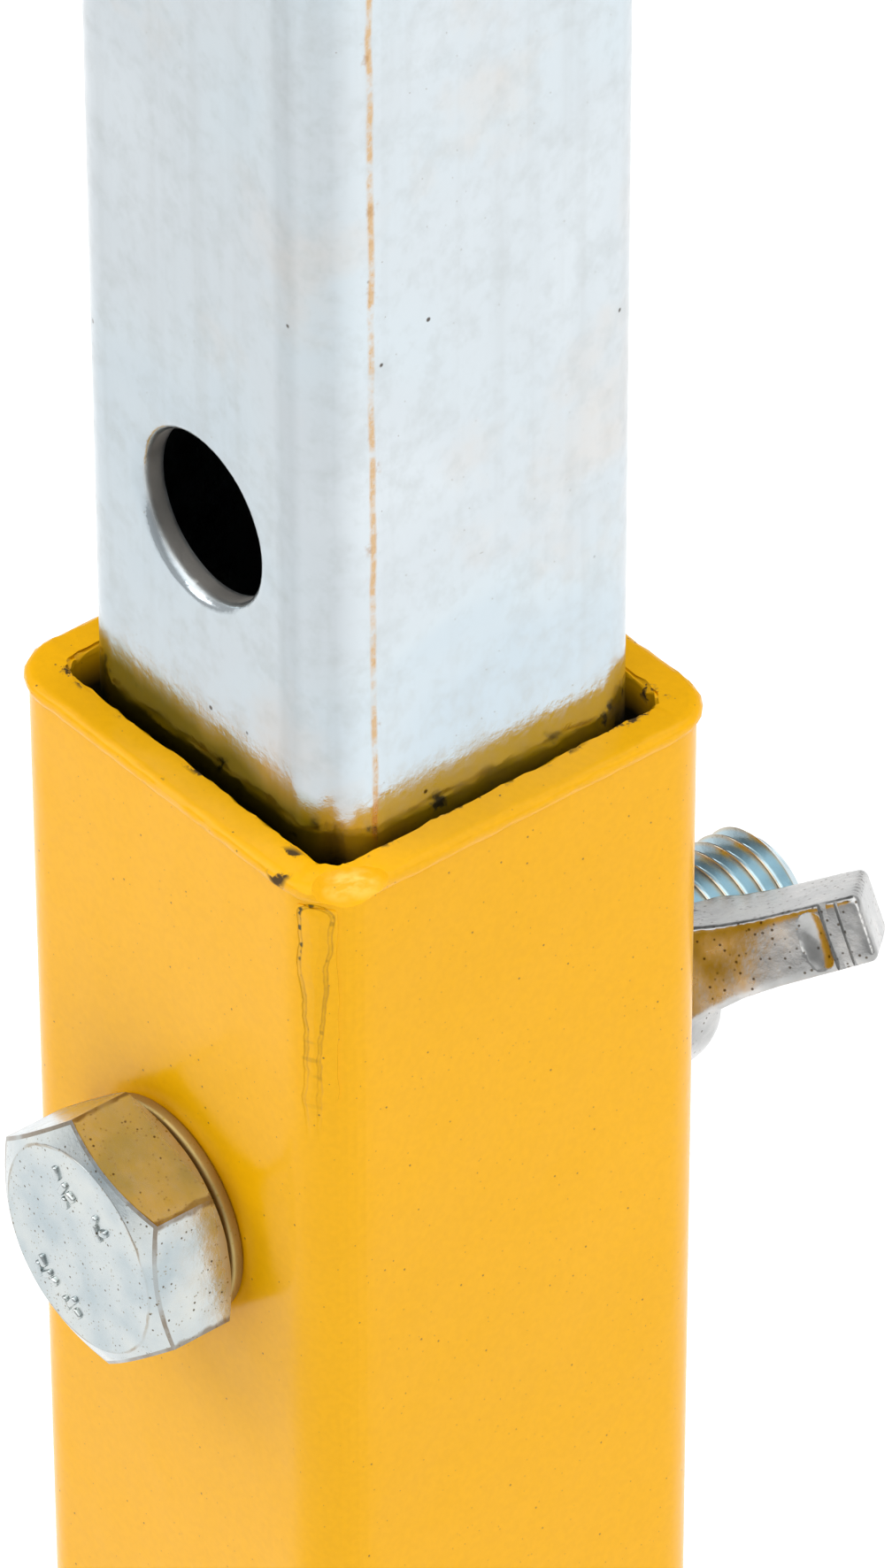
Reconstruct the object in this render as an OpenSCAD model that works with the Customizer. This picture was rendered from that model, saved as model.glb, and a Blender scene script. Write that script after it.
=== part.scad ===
// Retractable bollard: a square steel post that telescopes out of a painted
// square sleeve and is held at one of seven heights by a cross bolt with a
// wing nut. The sleeve stands on a welded base plate with four anchor holes.
// Units are millimetres. The origin is the middle of the base plate's
// underside, Z is up, the bolt runs along Y with its head on the -Y side.

/* [Sleeve] */
// Outside width of the square sleeve
sleeve_w = 50; // [40:1:80]
// Wall thickness of the sleeve
sleeve_wall = 4; // [2.5:0.5:6]
// Outside corner radius of the sleeve
sleeve_corner = 6; // [3:0.5:10]
// Gap between the lowered glide foot and the base plate
floor_gap = 2; // [1:0.5:20]
// How far the rolled rim edge stands out of the sleeve's faces
rim_lip = 0.4; // [0.2:0.1:1.5]
// Height of the rolled rim edge
rim_lip_h = 1.6; // [1:0.1:5]
// Depth of the slit at the rim corner, closed by the weld
rim_slit_h = 25; // [10:1:60]
// Width of the slit at the rim corner
rim_slit_w = 3; // [2:0.5:5]
// How far the weld in the slit stands out of the corner
rim_weld_proud = 0.3; // [0.1:0.1:1]

/* [Inner post] */
// Gap between the sleeve's bore and the inner post, each side
post_gap = 1; // [0.5:0.1:3]
// Wall thickness of the inner post
post_wall = 3; // [2:0.5:5]
// Outside corner radius of the inner post
post_corner = 6; // [3:0.5:8]
// Distance between two height holes
hole_pitch = 82; // [50:1:150]
// Number of height steps between lowered and raised
height_steps = 6; // [2:1:10]
// Length of inner post that stays in the sleeve below the bolt
post_below_bolt = 110; // [60:5:200]
// Gap between the lowered post's cap and the sleeve's rim
cap_gap = 3; // [1:0.5:20]

/* [Base] */
// Width of the square base plate
plate_w = 150; // [120:5:250]
// Thickness of the base plate
plate_t = 10; // [6:1:20]
// Corner radius of the base plate
plate_corner = 12; // [4:1:25]
// Distance between anchor holes
anchor_pitch = 110; // [90:5:200]
// Diameter of the anchor holes
anchor_hole_d = 14; // [10:0.5:20]
// Width of a gusset along the plate
gusset_w = 42; // [20:1:45]
// Height of a gusset along the sleeve
gusset_h = 80; // [30:5:150]
// Thickness of a gusset
gusset_t = 6; // [4:1:10]
// Height of a gusset's outer end
gusset_toe = 8; // [4:1:15]
// Corner cut from a gusset so that it clears the sleeve's weld
gusset_snipe = 9; // [7:1:15]
// Leg length of the weld round the sleeve's foot
foot_weld = 6; // [3:0.5:8]
// Leg length of the welds along the gussets
gusset_weld = 3; // [2:0.5:5]

/* [Cross bolt] */
// Thread diameter of the cross bolt
bolt_d = 16; // [12:1:20]
// Thread pitch of the cross bolt
bolt_pitch = 2; // [1.5:0.25:2.5]
// Width across flats of the bolt's head
head_af = 25; // [18:1:30]
// Thickness of the bolt's head
head_h = 10; // [7:0.5:13]
// Turn of the bolt's head about its axis
head_turn = 40; // [0:1:60]
// Diameter of the raised washer face under the head
head_face_d = 22.5; // [16:0.5:28]
// Thickness of the raised washer face under the head
head_face_h = 0.6; // [0.3:0.1:1]
// Edge broken off the head's corners
head_chamfer = 1.6; // [0.5:0.1:3]
// Length of the bolt under its head
bolt_l = 80; // [60:5:120]
// Chamfer on the bolt's end
bolt_end_chamfer = 1.2; // [0.5:0.1:2.5]
// Distance of the bolt below the sleeve's rim
bolt_drop = 53; // [30:1:90]
// Diameter of the cross holes in sleeve and inner post
cross_hole_d = 18; // [13:0.5:24]

/* [Wing nut] */
// Diameter of the thin washer under the bolt's head
head_washer_d = 24; // [22:0.5:32]
// Thickness of the thin washer under the bolt's head
head_washer_t = 1.7; // [0.8:0.1:3]
// Diameter of the washer under the wing nut
washer_d = 30; // [24:1:40]
// Thickness of the washer under the wing nut
washer_t = 2.5; // [1:0.5:4]
// Radial gap between either washer and the thread
washer_gap = 0.75; // [0.3:0.05:1.5]
// Radial gap between the nut's bore and the thread
thread_gap = 0.05; // [0.01:0.01:0.1]
// Diameter of the nut's hub where it bears on the washer
hub_foot_d = 26; // [22:1:34]
// Diameter of the nut's hub at its outer end
hub_end_d = 22.5; // [20:1:30]
// Height of the nut's hub
hub_h = 10.6; // [8:0.2:20]
// Distance from the bolt's axis at which a wing's lower edge starts
wing_root_r = 10; // [9:0.5:14]
// Height above the nut's foot at which a wing's lower edge starts
wing_root_h = 2.4; // [2:0.2:8]
// Angle at which the wings sweep up from the nut's foot
wing_sweep = 40; // [20:1:60]
// Length of a wing along its lower edge
wing_l = 24; // [16:1:40]
// Width of a wing across its sweep
wing_w = 11; // [8:0.5:16]
// Thickness of the wings
wing_t = 7; // [4:0.5:9]
// Radius of the wing tips' corners
wing_corner = 2.5; // [1:0.5:4]
// Turn of the wings about the bolt's axis
wing_turn = 30; // [0:1:180]

/* [Plastic plugs] */
// Thickness of the cap's rim on top of the inner post
cap_rim_h = 3; // [2:0.5:6]
// Rise of the cap's dome above its rim
cap_dome_h = 3; // [1:0.5:5]
// Depth of the plugs' stems inside the inner post
stem_h = 24; // [15:1:45]
// Wall thickness of the plugs' stems
stem_wall = 2.5; // [1.5:0.5:4]
// Gap between a plug's stem and the inner post's wall, each side
stem_gap = 0.3; // [0.1:0.1:1]
// Depth of the grip ribs around the plugs' stems
rib_d = 0.25; // [0.1:0.05:0.3]
// Thickness of one grip rib
rib_h = 1.5; // [1:0.5:3]
// Thickness of the glide foot's shoe
shoe_h = 6; // [4:1:15]
// Gap between the glide foot's shoe and the sleeve's bore, each side
shoe_gap = 0.3; // [0.2:0.1:0.6]
// Rounded edge between the plugs' stems and their corners
stem_corner = 2.5; // [1:0.5:4]

/* [Hidden] */
$fn = 64;
eps = 1;
sleeve_bore = sleeve_w - 2 * sleeve_wall;
sleeve_bore_corner = sleeve_corner - sleeve_wall;
post_w = sleeve_bore - 2 * post_gap;
post_bore = post_w - 2 * post_wall;
post_bore_corner = post_corner - post_wall;
slide_travel = height_steps * hole_pitch;
lowered_bottom = plate_t + floor_gap + shoe_h;
bolt_z = lowered_bottom + slide_travel + post_below_bolt;
sleeve_top = bolt_z + bolt_drop;
post_bottom = bolt_z - post_below_bolt;
post_l = post_below_bolt + slide_travel + bolt_drop + cap_gap;
post_top = post_bottom + post_l;
stem_w = post_bore - 2 * stem_gap;
face_y = sleeve_w / 2;
nut_y = face_y + washer_t;
seat_y = -face_y - head_washer_t;
dome_r = (post_w * post_w / 2 + cap_dome_h * cap_dome_h) / (2 * cap_dome_h);
zinc = [0.74, 0.77, 0.78];
yellow = [0.96, 0.71, 0.12];
black_plastic = [0.08, 0.08, 0.09];

// A flat square with rounded corners, drawn about the middle.
module rounded_square(width, corner) {
    inset = width / 2 - corner;
    square([width, 2 * inset], center = true);
    square([2 * inset, width], center = true);
    for (sx = [-1, 1]) {
        for (sy = [-1, 1]) {
            translate([sx * inset, sy * inset])
                circle(r = corner);
        }
    }
}

// A length of square hollow section, standing on the ground plane.
module square_pipe(width, corner, bore, bore_corner, length) {
    linear_extrude(height = length)
        difference() {
            rounded_square(width, corner);
            rounded_square(bore, bore_corner);
        }
}

// A cylinder along Y, from one y to another at the bolt's height.
module along_bolt(from_y, to_y, radius, height_z) {
    translate([0, from_y, height_z])
        rotate([-90, 0, 0])
            cylinder(h = to_y - from_y, r = radius);
}

// The slit sawn into the corner between the -Y and +X faces at the rim.
module corner_slit() {
    reach = sleeve_w;
    rotate([0, 0, -45])
        translate([0, 0, sleeve_top - rim_slit_h]) {
            translate([sleeve_w / 4, -rim_slit_w / 2, 0])
                cube([reach, rim_slit_w, rim_slit_h + eps]);
            translate([sleeve_w / 4, 0, 0])
                rotate([0, 90, 0])
                    cylinder(h = reach, r = rim_slit_w / 2);
        }
}

// Painted sleeve: square hollow section, open at the top, with a rolled
// rim edge, a cross hole for the bolt and the slit at one rim corner.
module outer_tube() {
    color(yellow)
        difference() {
            union() {
                translate([0, 0, plate_t])
                    square_pipe(sleeve_w, sleeve_corner, sleeve_bore,
                                sleeve_bore_corner, sleeve_top - plate_t);
                translate([0, 0, sleeve_top - rim_lip_h])
                    square_pipe(sleeve_w + 2 * rim_lip,
                                sleeve_corner + rim_lip, sleeve_bore,
                                sleeve_bore_corner, rim_lip_h);
            }
            along_bolt(-sleeve_w, sleeve_w, cross_hole_d / 2, bolt_z);
            corner_slit();
        }
}

// Weld metal that closes the slit at the rim corner.
module rim_weld() {
    weld_foot = sleeve_top - rim_slit_h - rim_slit_w;
    color(yellow)
        intersection() {
            corner_slit();
            translate([0, 0, weld_foot])
                square_pipe(sleeve_w + 2 * rim_weld_proud,
                            sleeve_corner + rim_weld_proud, sleeve_bore,
                            sleeve_bore_corner, sleeve_top - weld_foot);
        }
}

// Base plate with four anchor holes; the sleeve stands on its top face.
module base_plate() {
    color(yellow)
        linear_extrude(height = plate_t)
            difference() {
                rounded_square(plate_w, plate_corner);
                for (sx = [-1, 1]) {
                    for (sy = [-1, 1]) {
                        translate([sx, sy] * anchor_pitch / 2)
                            circle(d = anchor_hole_d);
                    }
                }
            }
}

// One triangular gusset on the +X face, turned to its own face by angle.
module gusset(angle) {
    color(yellow)
        rotate([0, 0, angle])
            translate([face_y, gusset_t / 2, plate_t])
                rotate([90, 0, 0])
                    linear_extrude(height = gusset_t)
                        polygon([[gusset_snipe, 0], [gusset_w, 0],
                                 [gusset_w, gusset_toe],
                                 [gusset_toe, gusset_h], [0, gusset_h],
                                 [0, gusset_snipe]]);
}

// The four gussets are the same plate on the four faces of the sleeve.
module gusset_right() {
    gusset(0);
}

module gusset_back() {
    gusset(90);
}

module gusset_left() {
    gusset(180);
}

module gusset_front() {
    gusset(270);
}

// The three-sided section of a fillet weld in the corner of two plates.
module bead_section(leg) {
    polygon([[0, 0], [leg, 0], [0, leg]]);
}

// Fillet weld round one corner of the sleeve's foot. It runs along half of
// each face up to the gusset standing there.
module foot_corner_weld() {
    straight = face_y - sleeve_corner - gusset_t / 2;
    translate([face_y - sleeve_corner, face_y - sleeve_corner, plate_t]) {
        rotate_extrude(angle = 90)
            translate([sleeve_corner, 0])
                bead_section(foot_weld);
        translate([sleeve_corner, 0, 0])
            rotate([90, 0, 0])
                linear_extrude(height = straight)
                    bead_section(foot_weld);
        translate([-straight, sleeve_corner, 0])
            rotate([90, 0, 90])
                linear_extrude(height = straight)
                    bead_section(foot_weld);
    }
}

// The weld round the whole foot of the sleeve, four corner runs.
module foot_welds() {
    color(yellow)
        for (angle = [0, 90, 180, 270]) {
            rotate([0, 0, angle])
                foot_corner_weld();
        }
}

// Fillet welds on both sides of each gusset, along plate and sleeve.
module gusset_welds() {
    lying = gusset_w - gusset_snipe;
    standing = gusset_h - gusset_snipe;
    color(yellow)
        for (angle = [0, 90, 180, 270]) {
            for (side = [0, 1]) {
                rotate([0, 0, angle])
                    mirror([0, side, 0])
                        translate([face_y, gusset_t / 2, plate_t]) {
                            translate([gusset_snipe, 0, 0])
                                rotate([90, 0, 90])
                                    linear_extrude(height = lying)
                                        bead_section(gusset_weld);
                            translate([0, 0, gusset_snipe])
                                linear_extrude(height = standing)
                                    bead_section(gusset_weld);
                        }
            }
        }
}

// Inner post: zinc plated square hollow section with a row of cross holes.
module inner_tube() {
    color(zinc)
        difference() {
            translate([0, 0, post_bottom])
                square_pipe(post_w, post_corner, post_bore,
                            post_bore_corner, post_l);
            for (step = [0 : height_steps]) {
                along_bolt(-post_w, post_w, cross_hole_d / 2,
                           bolt_z + step * hole_pitch);
            }
        }
}

// Hollow stem of a plastic plug with grip ribs, standing on z = 0.
module plug_stem() {
    inside = stem_w - 2 * stem_wall;
    inside_corner = stem_corner - stem_gap;
    square_pipe(stem_w, stem_corner, inside, inside_corner / 2, stem_h);
    for (rib = [1 : 3]) {
        translate([0, 0, rib * stem_h / 4])
            square_pipe(stem_w + 2 * rib_d, stem_corner + rib_d, inside,
                        inside_corner / 2, rib_h);
    }
}

// Push-in plastic cap with a shallow dome, closing the top of the post.
module top_cap() {
    color(black_plastic)
        translate([0, 0, post_top]) {
            mirror([0, 0, 1])
                plug_stem();
            linear_extrude(height = cap_rim_h)
                rounded_square(post_w, post_corner);
            intersection() {
                translate([0, 0, cap_rim_h])
                    linear_extrude(height = cap_dome_h)
                        rounded_square(post_w, post_corner);
                translate([0, 0, cap_rim_h + cap_dome_h - dome_r])
                    sphere(r = dome_r);
            }
        }
}

// Plastic foot in the post's lower end; its shoe centres the post in the
// sleeve's bore and slides along it.
module glide_foot() {
    shoe_w = sleeve_bore - 2 * shoe_gap;
    color(black_plastic)
        translate([0, 0, post_bottom]) {
            plug_stem();
            translate([0, 0, -shoe_h])
                linear_extrude(height = shoe_h)
                    rounded_square(shoe_w, post_corner);
        }
}

// Hexagon head bolt: head with broken corners on the -Y face, washer face,
// and a shank at the thread's outside diameter with a chamfered end.
module hex_bolt() {
    head_d = head_af / cos(30);
    hex_back = seat_y - head_face_h;
    hex_h = head_h - head_face_h;
    cone_h = head_d / 2;
    color(zinc)
        union() {
            intersection() {
                translate([0, hex_back, bolt_z])
                    rotate([90, -head_turn, 0])
                        cylinder(h = hex_h, r = head_d / 2, $fn = 6);
                translate([0, hex_back - hex_h, bolt_z])
                    rotate([-90, 0, 0])
                        cylinder(h = cone_h, r1 = head_d / 2 - head_chamfer,
                                 r2 = head_d / 2 - head_chamfer
                                      + cone_h / tan(30));
            }
            along_bolt(hex_back, seat_y, head_face_d / 2, bolt_z);
            along_bolt(seat_y, seat_y + bolt_l - bolt_end_chamfer,
                       bolt_d / 2, bolt_z);
            translate([0, seat_y + bolt_l - bolt_end_chamfer, bolt_z])
                rotate([-90, 0, 0])
                    cylinder(h = bolt_end_chamfer, r1 = bolt_d / 2,
                             r2 = bolt_d / 2 - bolt_end_chamfer);
        }
}

// Thin washer between the bolt's head and the sleeve.
module head_washer() {
    color(zinc)
        translate([0, seat_y, bolt_z])
            rotate([-90, 0, 0])
                linear_extrude(height = head_washer_t)
                    difference() {
                        circle(d = head_washer_d);
                        circle(r = bolt_d / 2 + washer_gap);
                    }
}

// Plain washer between the sleeve's far face and the wing nut.
module nut_washer() {
    color(zinc)
        translate([0, face_y, bolt_z])
            rotate([-90, 0, 0])
                linear_extrude(height = washer_t)
                    difference() {
                        circle(d = washer_d);
                        circle(r = bolt_d / 2 + washer_gap);
                    }
}

// Side view of one wing: across is away from the axis, up is along it.
module wing_outline() {
    translate([wing_root_r, wing_root_h])
        rotate(wing_sweep) {
            square([wing_l - wing_corner, wing_w]);
            translate([0, wing_corner])
                square([wing_l, wing_w - 2 * wing_corner]);
            for (across = [wing_corner, wing_w - wing_corner]) {
                translate([wing_l - wing_corner, across])
                    circle(r = wing_corner);
            }
        }
}

// Cast wing nut: a tapered hub with a bore and two upswept wings.
module wing_nut() {
    color(zinc)
        translate([0, nut_y, bolt_z])
            rotate([-90, -wing_turn, 0])
                difference() {
                    union() {
                        cylinder(h = hub_h, r1 = hub_foot_d / 2,
                                 r2 = hub_end_d / 2);
                        for (side = [0, 180]) {
                            rotate([0, 0, side])
                                translate([0, wing_t / 2, 0])
                                    rotate([90, 0, 0])
                                        linear_extrude(height = wing_t)
                                            wing_outline();
                        }
                    }
                    translate([0, 0, -eps])
                        cylinder(h = wing_l + wing_w,
                                 r = bolt_d / 2 + thread_gap);
                }
}

outer_tube();
rim_weld();
base_plate();
gusset_front();
gusset_back();
gusset_left();
gusset_right();
foot_welds();
gusset_welds();
inner_tube();
top_cap();
glide_foot();
hex_bolt();
head_washer();
nut_washer();
wing_nut();
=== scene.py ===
import math

import bmesh
import bpy
from mathutils import Euler, Matrix, Vector


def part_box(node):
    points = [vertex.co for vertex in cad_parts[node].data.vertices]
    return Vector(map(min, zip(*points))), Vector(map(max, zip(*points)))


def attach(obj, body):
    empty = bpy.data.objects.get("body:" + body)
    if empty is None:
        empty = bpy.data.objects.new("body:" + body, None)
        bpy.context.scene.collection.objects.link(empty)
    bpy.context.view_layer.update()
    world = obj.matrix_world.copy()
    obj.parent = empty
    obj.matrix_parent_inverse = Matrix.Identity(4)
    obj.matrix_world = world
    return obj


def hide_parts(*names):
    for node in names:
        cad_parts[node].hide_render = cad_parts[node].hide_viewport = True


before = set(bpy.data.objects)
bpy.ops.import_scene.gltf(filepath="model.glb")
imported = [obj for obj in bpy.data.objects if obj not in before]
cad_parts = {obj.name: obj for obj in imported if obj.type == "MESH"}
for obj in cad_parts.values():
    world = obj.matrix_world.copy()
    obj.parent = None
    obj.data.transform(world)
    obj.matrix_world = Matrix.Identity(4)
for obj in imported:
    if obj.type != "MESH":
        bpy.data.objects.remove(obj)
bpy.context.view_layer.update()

# Studio. A long lens looks down on the rim of the sleeve from the corner
# between its -Y and +X faces. The walls are white, dimmer behind the lens and
# beyond the post and brighter overhead, and the floor is pale and plain.
rim_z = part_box("outer_tube")[1].z
lens_data = bpy.data.cameras.new("studio_camera")
lens_data.lens = 247.2
lens_data.sensor_width = 36.0
lens_data.clip_end = 100.0
camera = bpy.data.objects.new("studio_camera", lens_data)
bpy.context.scene.collection.objects.link(camera)
turn, tilt = math.radians(50.81), math.radians(37.84)
camera.location = (0.6548, -0.5233, rim_z + 0.6384)
look = Euler((math.pi / 2 - tilt, 0, turn)).to_matrix()
camera.rotation_euler = (look @ Matrix.Rotation(math.radians(-0.12), 3, "Z")
                         ).to_euler()
bpy.context.scene.camera = camera

bpy.ops.object.select_all(action="DESELECT")
bpy.ops.mesh.primitive_plane_add(size=40.0, location=(0, 0, 0))
floor = bpy.context.object
floor.name = "studio_floor"
floor_paint = bpy.data.materials.new("studio_floor")
floor_paint.use_nodes = True
floor_shader = floor_paint.node_tree.nodes["Principled BSDF"]
floor_shader.inputs["Base Color"].default_value = (0.97, 0.97, 0.97, 1)
floor_shader.inputs["Roughness"].default_value = 0.9
floor.data.materials.append(floor_paint)

world = bpy.data.worlds.new("studio_walls")
world.use_nodes = True
bpy.context.scene.world = world
walls = world.node_tree.nodes["Background"]
walls.inputs["Color"].default_value = (0.985, 0.99, 1.0, 1)
wall_nodes, wall_links = world.node_tree.nodes, world.node_tree.links
way = wall_nodes.new("ShaderNodeTexCoord").outputs["Generated"]
wall_strength = 0.875
to_lens, beyond_post = (0.621, -0.497, 0.606), (-0.621, 0.497, 0.606)
overhead = (0, 0, 1)
shades = []
for axis, start, end, strength in ((to_lens, 0.55, 0.97, 0.69),
                                   (beyond_post, 0.78, 0.94, 0.22),
                                   (overhead, 0.50, 0.95, 2.90)):
    toward = wall_nodes.new("ShaderNodeVectorMath")
    toward.operation = "DOT_PRODUCT"
    toward.inputs[1].default_value = axis
    wall_links.new(way, toward.inputs[0])
    shade = wall_nodes.new("ShaderNodeMapRange")
    shade.interpolation_type = "SMOOTHSTEP"
    for name, value in (("From Min", start), ("From Max", end),
                        ("To Min", wall_strength), ("To Max", strength)):
        shade.inputs[name].default_value = value
    wall_links.new(toward.outputs["Value"], shade.inputs["Value"])
    shades.append(shade.outputs["Result"])
all_shades = shades[0]
for shade in shades[1:]:
    both = wall_nodes.new("ShaderNodeMath")
    both.operation = "MULTIPLY"
    wall_links.new(all_shades, both.inputs[0])
    wall_links.new(shade, both.inputs[1])
    all_shades = both.outputs[0]
wall_links.new(all_shades, walls.inputs["Strength"])


def soft_light(name, place, aim, size, watts):
    lamp = bpy.data.lights.new(name, "AREA")
    lamp.shape = "SQUARE"
    lamp.size = size
    lamp.energy = watts
    lamp_object = bpy.data.objects.new(name, lamp)
    bpy.context.scene.collection.objects.link(lamp_object)
    lamp_object.location = place
    look = Vector(aim) - Vector(place)
    lamp_object.rotation_euler = look.to_track_quat("-Z", "Y").to_euler()


soft_light("key_box", (-2.4, -2.6, 3.0), (0, 0, rim_z), 2.2, 43)
soft_light("fill_box", (3.2, 1.2, 2.6), (0, 0, rim_z), 2.4, 26)
bpy.context.scene.view_settings.view_transform = "Standard"


# Sleeve. Square hollow section of mild steel, 50 mm wide with 4 mm walls,
# sawn off square. Its rim edge is rolled outwards a little by the saw and
# the paint has run thick on it. One cross hole goes through both walls.
def only(piece):
    bpy.ops.object.select_all(action="DESELECT")
    piece.select_set(True)
    bpy.context.view_layer.objects.active = piece


def pick(kind, test):
    """Selects those faces, edges or points of the piece that pass."""
    mesh = bmesh.from_edit_mesh(bpy.context.object.data)
    mesh.select_mode = {kind[:-1].upper() if kind != "vertices" else "VERT"}
    for group in (mesh.faces, mesh.edges, mesh.verts):
        for item in group:
            item.select_set(False)
    for item in {"faces": mesh.faces, "edges": mesh.edges,
                 "vertices": mesh.verts}[kind]:
        if test(item):
            item.select_set(True)
    mesh.select_flush_mode()
    bmesh.update_edit_mesh(bpy.context.object.data)


def standing(edge):
    a, b = edge.verts[0].co, edge.verts[1].co
    return abs(a.z - b.z) > 0.9 * (a - b).length


def settle(piece, name):
    """Place, turn and size go into the mesh, and the piece gets its name."""
    only(piece)
    bpy.ops.object.transform_apply(location=True, rotation=True, scale=True)
    piece.name = name
    piece.data.name = name


def modify(piece, kind, **settings):
    only(piece)
    change = piece.modifiers.new(kind.lower(), kind)
    for key, value in settings.items():
        setattr(change, key, value)
    bpy.ops.object.modifier_apply(modifier=change.name)


def square_bar(low, high, width, corner, segments=10):
    """A square bar with rounded standing edges, left in edit mode."""
    bpy.ops.object.select_all(action="DESELECT")
    bpy.ops.mesh.primitive_cube_add(size=1.0, location=(0, 0, (low + high) / 2),
                                    scale=(width, width, high - low))
    bar = bpy.context.object
    bpy.ops.object.transform_apply(location=True, rotation=True, scale=True)
    bpy.ops.object.mode_set(mode="EDIT")
    pick("edges", standing)
    bpy.ops.mesh.bevel(offset=corner, offset_type="OFFSET", segments=segments,
                       profile=0.5, affect="EDGES")
    return bar


def slice_sides(reach, step):
    """Cuts upright strips into the flat sides so that they can be dented."""
    count = int(round(2 * reach / step))
    for axis in (0, 1):
        for n in range(count + 1):
            place, normal = [0, 0, 0], [0, 0, 0]
            place[axis] = -reach + n * step
            normal[axis] = 1
            bpy.ops.mesh.select_all(action="SELECT")
            bpy.ops.mesh.bisect(plane_co=place, plane_no=normal)


def pull_end(rise, grow, width):
    """Pulls the selected end face on by rise and widens it by grow."""
    bpy.ops.mesh.extrude_region_move(
        TRANSFORM_OT_translate={"value": (0, 0, rise)})
    k = (width + 2 * grow) / width
    bpy.ops.transform.resize(value=(k, k, 1), center_override=(0, 0, 0))
    return width + 2 * grow


def join(piece, others):
    only(piece)
    for other in others:
        other.select_set(True)
    bpy.ops.object.join()


def cut_away(piece, tool, way="DIFFERENCE"):
    only(piece)
    cut = piece.modifiers.new("cut", "BOOLEAN")
    cut.operation = way
    cut.solver = "EXACT"
    cut.object = tool
    bpy.ops.object.modifier_apply(modifier="cut")
    bpy.data.objects.remove(tool)


def cross_drill(piece, height, radius, flare, half):
    """Drills the piece through along Y and rounds the hole's mouths."""
    bpy.ops.object.select_all(action="DESELECT")
    bpy.ops.mesh.primitive_cylinder_add(
        vertices=72, radius=radius, depth=4 * half,
        location=(0, 0, height), rotation=(math.pi / 2, 0, 0))
    drill = bpy.context.object
    settle(drill, "drill")
    cut_away(piece, drill)

    def mouth(edge):
        return all(abs(abs(p.co.y) - half) < 1e-5 and abs(
            math.hypot(p.co.x, p.co.z - height) - radius) < 5e-5
            for p in edge.verts)

    bpy.ops.object.mode_set(mode="EDIT")
    pick("edges", mouth)
    bpy.ops.mesh.bevel(offset=flare, offset_type="OFFSET", segments=4,
                       profile=0.5, affect="EDGES")
    bpy.ops.object.mode_set(mode="OBJECT")


def smooth(piece, degrees):
    only(piece)
    bpy.ops.object.shade_smooth_by_angle(angle=math.radians(degrees))
    modify(piece, "WEIGHTED_NORMAL", weight=100, keep_sharp=True)


sleeve_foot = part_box("outer_tube")[0].z
bolt_z = (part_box("nut_washer")[0].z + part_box("nut_washer")[1].z) / 2
sleeve_width, sleeve_corner, bore_half = 0.050, 0.006, 0.021
half_width = sleeve_width / 2
hole_r, lip_height, upper_bore = 0.009, 0.0019, 0.050
rim_dish, edge_dip, edge_drop = 0.0002, 0.0001, 0.0004
edge_wide, edge_narrow = 0.00035, 0.00015
sleeve = square_bar(sleeve_foot, rim_z - lip_height, sleeve_width,
                    sleeve_corner)
slice_sides(0.018, 0.0015)
pick("faces", lambda f: f.normal.z > 0.9)
wide = sleeve_width
for rise, grow in ((0.0003, 0.00022), (0.0005, 0.00018), (0.0005, -0.00004),
                   (0.0003, -0.00022), (0.0002, -0.00034),
                   (0.0001, -0.0005)):
    wide = pull_end(rise, grow, wide)
bpy.ops.mesh.inset(thickness=wide / 2 - bore_half - edge_wide - edge_narrow,
                   use_even_offset=True)
bpy.ops.mesh.extrude_region_move(
    TRANSFORM_OT_translate={"value": (0, 0, -rim_dish)})
bpy.ops.mesh.inset(thickness=edge_wide, use_even_offset=True)
bpy.ops.transform.translate(value=(0, 0, -edge_dip))
bpy.ops.mesh.inset(thickness=edge_narrow, use_even_offset=True)
bpy.ops.transform.translate(value=(0, 0, -edge_drop))
bpy.ops.mesh.extrude_region_move(
    TRANSFORM_OT_translate={"value": (0, 0, -upper_bore)})
bore_top = rim_z - rim_dish - edge_dip - edge_drop
bpy.ops.mesh.extrude_region_move(
    TRANSFORM_OT_translate={"value": (0, 0, sleeve_foot + 0.0005 - bore_top
                                      + upper_bore)})
pick("vertices", lambda p: p.co.z > rim_z - 0.00075 and max(
    abs(p.co.x), abs(p.co.y)) < 0.0225)
bpy.ops.transform.vertex_random(offset=0.00022, uniform=0.6, seed=4)
pick("vertices", lambda p: p.co.z > rim_z - 0.0017 and max(
    abs(p.co.x), abs(p.co.y)) > 0.0240)
bpy.ops.transform.vertex_random(offset=0.00012, uniform=0.6, seed=9)
bpy.ops.object.mode_set(mode="OBJECT")
cross_drill(sleeve, bolt_z, hole_r, 0.0006, half_width)

# The corner over the weld is ground down to a shallow hollow.
bpy.ops.object.select_all(action="DESELECT")
ground_way = Vector((0.50, -0.37, 0.78)).normalized()
ground_corner = Vector((0.02345, -0.01960, rim_z - 0.0009))
bpy.ops.mesh.primitive_uv_sphere_add(
    segments=96, ring_count=48, radius=0.0060,
    location=ground_corner + ground_way * 0.0055)
grinder = bpy.context.object
settle(grinder, "grinder")
cut_away(sleeve, grinder)
settle(sleeve, "sleeve")
smooth(sleeve, 40)
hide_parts("outer_tube")
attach(sleeve, "sleeve")


def material(name):
    """An empty material with its output and shader in place."""
    finish = bpy.data.materials.new(name)
    finish.use_nodes = True
    return finish, finish.node_tree, finish.node_tree.nodes["Principled BSDF"]


def node(tree, kind, feeds=(), **settings):
    """Adds a node; feeds pairs an input with a value or with a socket."""
    made = tree.nodes.new("ShaderNode" + kind)
    for key, value in settings.items():
        setattr(made, key, value)
    for name, value in feeds:
        if isinstance(value, bpy.types.NodeSocket):
            tree.links.new(value, made.inputs[name])
        else:
            made.inputs[name].default_value = value
    return made


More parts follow.
